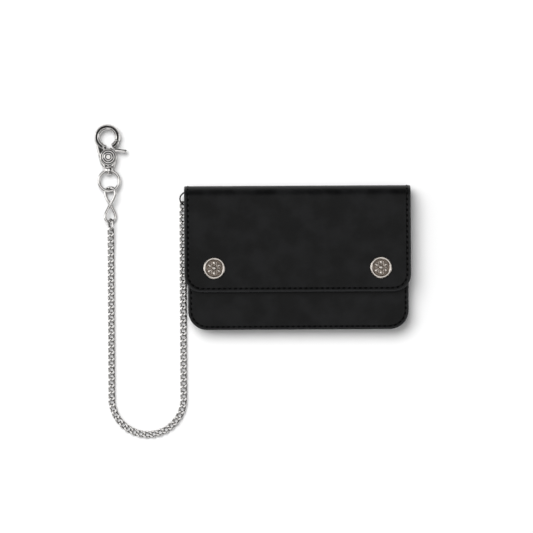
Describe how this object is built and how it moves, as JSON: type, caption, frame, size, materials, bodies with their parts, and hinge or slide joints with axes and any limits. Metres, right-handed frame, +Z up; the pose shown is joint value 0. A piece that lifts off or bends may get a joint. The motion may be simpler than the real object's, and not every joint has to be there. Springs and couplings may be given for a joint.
{
  "type": "chain wallet",
  "caption": "Black leather wallet with a snapped flap over bill, card and zipped coin pockets, and a curb chain with a swivel trigger hook.",
  "frame": {"origin": "on the resting face, under the middle of the flap", "axes": "+Z up out of the flap's face, +Y towards the fold, +X to the right as it lies face up; the chain lies on the -X side"},
  "size_m": [0.2166, 0.2156, 0.0195],
  "materials": {
    "shell_leather": "black waxed calf, smooth satin",
    "lining_leather": "black skived lining, matt",
    "zip_cloth": "woven polyester tape",
    "zip_metal": "nickel plated",
    "snap_metal": "antique nickel, dark in the hollows",
    "ring_metal": "dark nickel",
    "chain_metal": "polished nickel plate",
    "hook_metal": "polished nickel plate"
  },
  "bodies": {
    "pockets": {"back_panel": "shell_leather", "front_panel": "shell_leather", "wall_left": "shell_leather", "wall_right": "shell_leather", "wall_bottom": "shell_leather", "bill_divider": "lining_leather", "coin_pocket_back": "lining_leather", "coin_pocket_front": "lining_leather", "card_slot_1": "lining_leather", "card_slot_2": "lining_leather", "card_slot_3": "lining_leather", "zip_tapes": "zip_cloth", "zip_teeth": "zip_metal", "snap_stud_left": "snap_metal", "snap_stud_right": "snap_metal", "snap_post_left": "snap_metal", "snap_post_right": "snap_metal", "eyelet": "snap_metal"},
    "fold_lower": {"spine_lower": "shell_leather"},
    "fold_upper": {"spine_upper": "shell_leather"},
    "flap": {"flap_outer": "shell_leather", "flap_lining": "lining_leather", "snap_cap_left": "snap_metal", "snap_cap_right": "snap_metal", "snap_socket_left": "snap_metal", "snap_socket_right": "snap_metal"},
    "slider": {"zip_slider": "zip_metal"},
    "pull": {"zip_pull": "zip_metal"},
    "ring": {"wallet_ring": "ring_metal"},
    "start": {"start_link": "chain_metal"},
    "length_01": {"chain_01": "chain_metal"},
    "length_02": {"chain_02": "chain_metal"},
    "length_03": {"chain_03": "chain_metal"},
    "length_04": {"chain_04": "chain_metal"},
    "length_05": {"chain_05": "chain_metal"},
    "length_06": {"chain_06": "chain_metal"},
    "length_07": {"chain_07": "chain_metal"},
    "length_08": {"chain_08": "chain_metal"},
    "length_09": {"chain_09": "chain_metal"},
    "length_10": {"chain_10": "chain_metal"},
    "length_11": {"chain_11": "chain_metal"},
    "length_12": {"chain_12": "chain_metal"},
    "end": {"end_link": "chain_metal"},
    "eight": {"figure_eight_link": "hook_metal"},
    "eye": {"swivel_ring": "hook_metal"},
    "hook": {"hook_body": "hook_metal", "swivel_post": "hook_metal", "gate_spring": "hook_metal", "pivot_rivet": "hook_metal"},
    "gate": {"hook_gate": "hook_metal"}
  },
  "joints": [
    {"name": "flap_fold_back", "type": "hinge", "parent": "pockets", "child": "fold_lower", "pos_m": [0, 0.0405, 0], "axis": [-1, 0, 0], "range_deg": [0, 8]},
    {"name": "flap_fold", "type": "hinge", "parent": "fold_lower", "child": "fold_upper", "pos_m": [0, 0.0493, 0.0088], "axis": [-1, 0, 0], "range_deg": [0, 90]},
    {"name": "flap_fold_front", "type": "hinge", "parent": "fold_upper", "child": "flap", "pos_m": [0, 0.0405, 0.0176], "axis": [-1, 0, 0], "range_deg": [0, 90]},
    {"name": "zip_slide", "type": "slide", "parent": "pockets", "child": "slider", "axis": [1, 0, 0], "range_m": [-0.012, 0.092]},
    {"name": "pull_swing", "type": "hinge", "parent": "slider", "child": "pull", "pos_m": [-0.04, 0.0272, 0.0066], "axis": [0, 0, 1], "range_deg": [0, 150]},
    {"name": "ring_swing", "type": "hinge", "parent": "pockets", "child": "ring", "pos_m": [-0.06757, 0.03819, 0.0029], "axis": [1, 0, 0], "range_deg": [0, 40]},
    {"name": "start_swing", "type": "hinge", "parent": "ring", "child": "start", "pos_m": [-0.0786, 0.0373, 0.002], "axis": [1, 0, 0], "range_deg": [0, 20]},
    {"name": "length_01_turn", "type": "hinge", "parent": "start", "child": "length_01", "pos_m": [-0.0786, 0.0335, 0.0015], "axis": [0, 0, 1], "range_deg": [-8, 0]},
    {"name": "length_02_lift", "type": "hinge", "parent": "length_01", "child": "length_02", "pos_m": [-0.0786, 0.0065, 0.00142], "axis": [1, 0, 0], "range_deg": [-8, 8]},
    {"name": "length_03_turn", "type": "hinge", "parent": "length_02", "child": "length_03", "pos_m": [-0.0786, -0.0205, 0.00142], "axis": [0, 0, -1], "range_deg": [0, 8]},
    {"name": "length_04_lift", "type": "hinge", "parent": "length_03", "child": "length_04", "pos_m": [-0.0786, -0.0475, 0.00142], "axis": [-1, 0, 0], "range_deg": [-8, 8]},
    {"name": "length_05_turn", "type": "hinge", "parent": "length_04", "child": "length_05", "pos_m": [-0.0786, -0.0745, 0.00142], "axis": [0, 0, 1], "range_deg": [-7, 12]},
    {"name": "length_06_lift", "type": "hinge", "parent": "length_05", "child": "length_06", "pos_m": [-0.07919, -0.10146, 0.00142], "axis": [0.9762, -0.2169, 0], "range_deg": [-8, 8]},
    {"name": "length_07_turn", "type": "hinge", "parent": "length_06", "child": "length_07", "pos_m": [-0.09697, -0.11998, 0.00142], "axis": [0, 0, -1], "range_deg": [-12, 7]},
    {"name": "length_08_lift", "type": "hinge", "parent": "length_07", "child": "length_08", "pos_m": [-0.12159, -0.1127, 0.00142], "axis": [0.7407, 0.6719, 0], "range_deg": [-8, 8]},
    {"name": "length_09_turn", "type": "hinge", "parent": "length_08", "child": "length_09", "pos_m": [-0.128, -0.0873, 0.00142], "axis": [0, 0, 1], "range_deg": [-7, 12]},
    {"name": "length_10_lift", "type": "hinge", "parent": "length_09", "child": "length_10", "pos_m": [-0.128, -0.0603, 0.00142], "axis": [-1, 0, 0], "range_deg": [-8, 8]},
    {"name": "length_11_turn", "type": "hinge", "parent": "length_10", "child": "length_11", "pos_m": [-0.128, -0.0333, 0.00142], "axis": [0, 0, -1], "range_deg": [-12, 7]},
    {"name": "length_12_lift", "type": "hinge", "parent": "length_11", "child": "length_12", "pos_m": [-0.128, -0.0063, 0.00142], "axis": [1, 0, 0], "range_deg": [-8, 8]},
    {"name": "end_link_turn", "type": "hinge", "parent": "length_12", "child": "end", "pos_m": [-0.128, 0.02068, 0.0029], "axis": [0, 0, 1], "range_deg": [-12, 12]},
    {"name": "eight_lift", "type": "hinge", "parent": "end", "child": "eight", "pos_m": [-0.12825, 0.026, 0.00335], "axis": [1, 0, 0], "range_deg": [-12, 12]},
    {"name": "eye_lift", "type": "hinge", "parent": "eight", "child": "eye", "pos_m": [-0.1286, 0.0473, 0.0035], "axis": [1, 0, 0], "range_deg": [-12, 12]},
    {"name": "hook_swivel", "type": "hinge", "parent": "eye", "child": "hook", "pos_m": [-0.12928, 0.0613, 0.0035], "axis": [-0.0349, 0.9994, 0], "continuous": true},
    {"name": "gate_open", "type": "hinge", "parent": "hook", "child": "gate", "pos_m": [-0.12937, 0.0697, 0.0035], "axis": [0, 0, 1], "range_deg": [-26, 0], "stiffness_Nm_per_rad": 0.02, "springref_deg": 14.32}
  ],
  "couplings": [
    {"joint": "flap_fold_back", "follows": "flap_fold", "ratio": 0.088889},
    {"joint": "flap_fold_front", "follows": "flap_fold", "ratio": 1}
  ]
}
